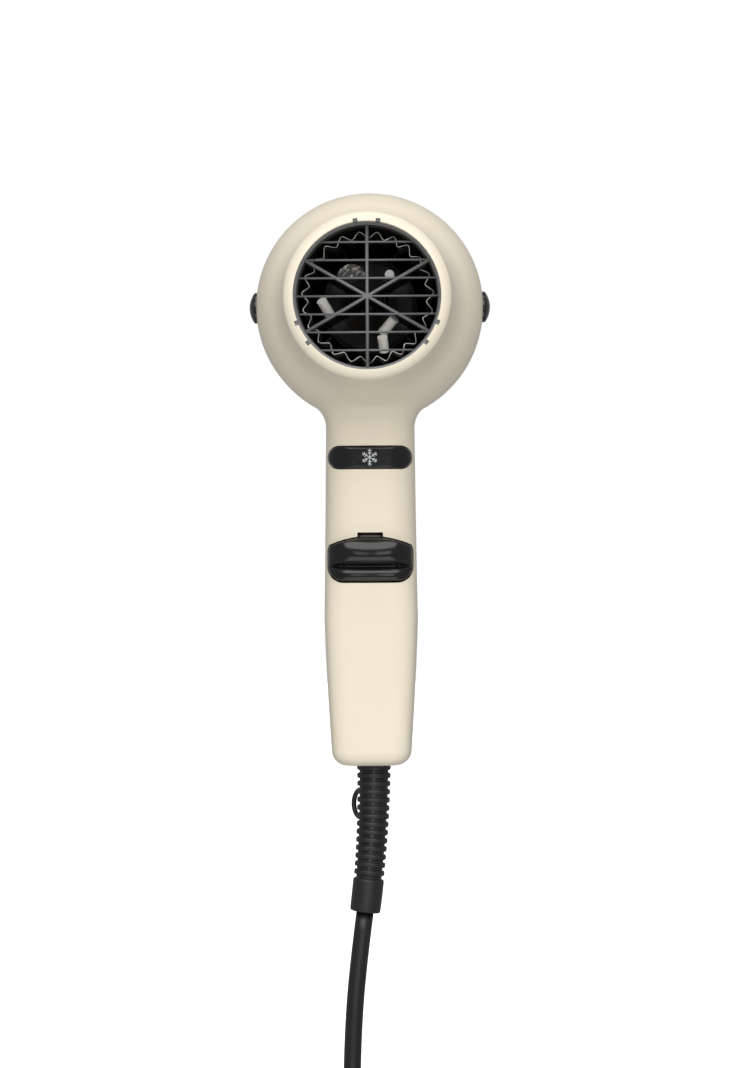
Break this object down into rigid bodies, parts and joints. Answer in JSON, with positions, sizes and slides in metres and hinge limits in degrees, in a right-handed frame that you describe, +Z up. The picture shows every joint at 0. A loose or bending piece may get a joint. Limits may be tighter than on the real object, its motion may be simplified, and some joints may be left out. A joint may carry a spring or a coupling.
{
  "type": "hair dryer",
  "caption": "Hand-held hair dryer with a round barrel, wire-style front grille, handle with cool and power buttons, ribbed cord relief and coiled mains lead.",
  "frame": {"origin": "middle of the grip, inside the handle", "axes": "+Z up along the handle towards the barrel, air leaves along -Y, +X to the right when the outlet is faced"},
  "size_m": [0.1509, 0.2163, 0.425],
  "materials": {
    "shell": "gloss",
    "grille": "satin",
    "gloss_black": "gloss",
    "screw_steel": "zinc plated",
    "duct": "moulded",
    "motor_steel": "drawn",
    "bronze": "sintered",
    "ferrite": "ground",
    "carbon": "matte",
    "lamination": "stamped",
    "copper": "enamelled",
    "board": "pressed paper",
    "diode": "moulded",
    "mica": "satin",
    "nichrome": "oxidised",
    "thermostat": "matte",
    "fuse": "satin",
    "glass_sleeve": "woven",
    "cap_black": "satin",
    "mesh_steel": "woven",
    "white_mark": "printed",
    "switch_black": "moulded",
    "lead": "silicone",
    "relief": "satin",
    "cord": "satin",
    "plug": "satin",
    "pin_brass": "nickel plated"
  },
  "bodies": {
    "housing": {"front_shell": "shell", "rear_shell": "shell", "front_grille": "grille", "side_cap_left": "gloss_black", "side_cap_right": "gloss_black", "side_screws": "screw_steel", "handle_screws": "screw_steel", "fan_duct": "duct", "motor_can": "motor_steel", "motor_end_cap": "duct", "motor_bushes": "bronze", "motor_magnets": "ferrite", "motor_brushes": "carbon", "rectifier_board": "board", "diodes": "diode", "heater_boards": "mica", "heater_wires": "nichrome", "heater_sleeve": "mica", "mica_bracket": "mica", "thermostat": "thermostat", "thermal_fuse": "fuse", "lead_sleeves": "glass_sleeve", "cool_switch": "switch_black", "rocker_pin": "screw_steel", "rocker_switch_body": "switch_black", "mains_leads": "lead", "heater_leads": "lead", "cord_clamp": "duct", "clamp_screws": "screw_steel", "strain_relief": "relief", "cord_inner_end": "cord", "mains_cord": "cord", "cord_coil": "cord", "cord_tail": "cord", "plug_body": "plug", "plug_pins": "pin_brass"},
    "rotor": {"rotor_shaft": "motor_steel", "armature": "lamination", "armature_windings": "copper", "commutator": "copper", "fan": "duct"},
    "filter_cap": {"rear_cap": "cap_black", "filter_mesh": "mesh_steel"},
    "cool_button": {"cool_button": "gloss_black", "snowflake_inlay": "white_mark", "cool_plunger": "switch_black"},
    "rocker": {"rocker_button": "gloss_black"}
  },
  "joints": [
    {"name": "fan_spin", "type": "hinge", "parent": "housing", "child": "rotor", "pos_m": [0, 0, 0.141], "axis": [0, 1, 0], "continuous": true},
    {"name": "cool_press", "type": "slide", "parent": "housing", "child": "cool_button", "axis": [0, 1, 0], "range_m": [0, 0.002], "stiffness_N_per_m": 900, "springref_m": -0.001},
    {"name": "rocker_tilt", "type": "hinge", "parent": "housing", "child": "rocker", "pos_m": [0, -0.0165, 0.0344], "axis": [1, 0, 0], "range_deg": [-8, 8]},
    {"name": "filter_cap_pull", "type": "slide", "parent": "housing", "child": "filter_cap", "axis": [0, 1, 0], "range_m": [0, 0.03]}
  ]
}
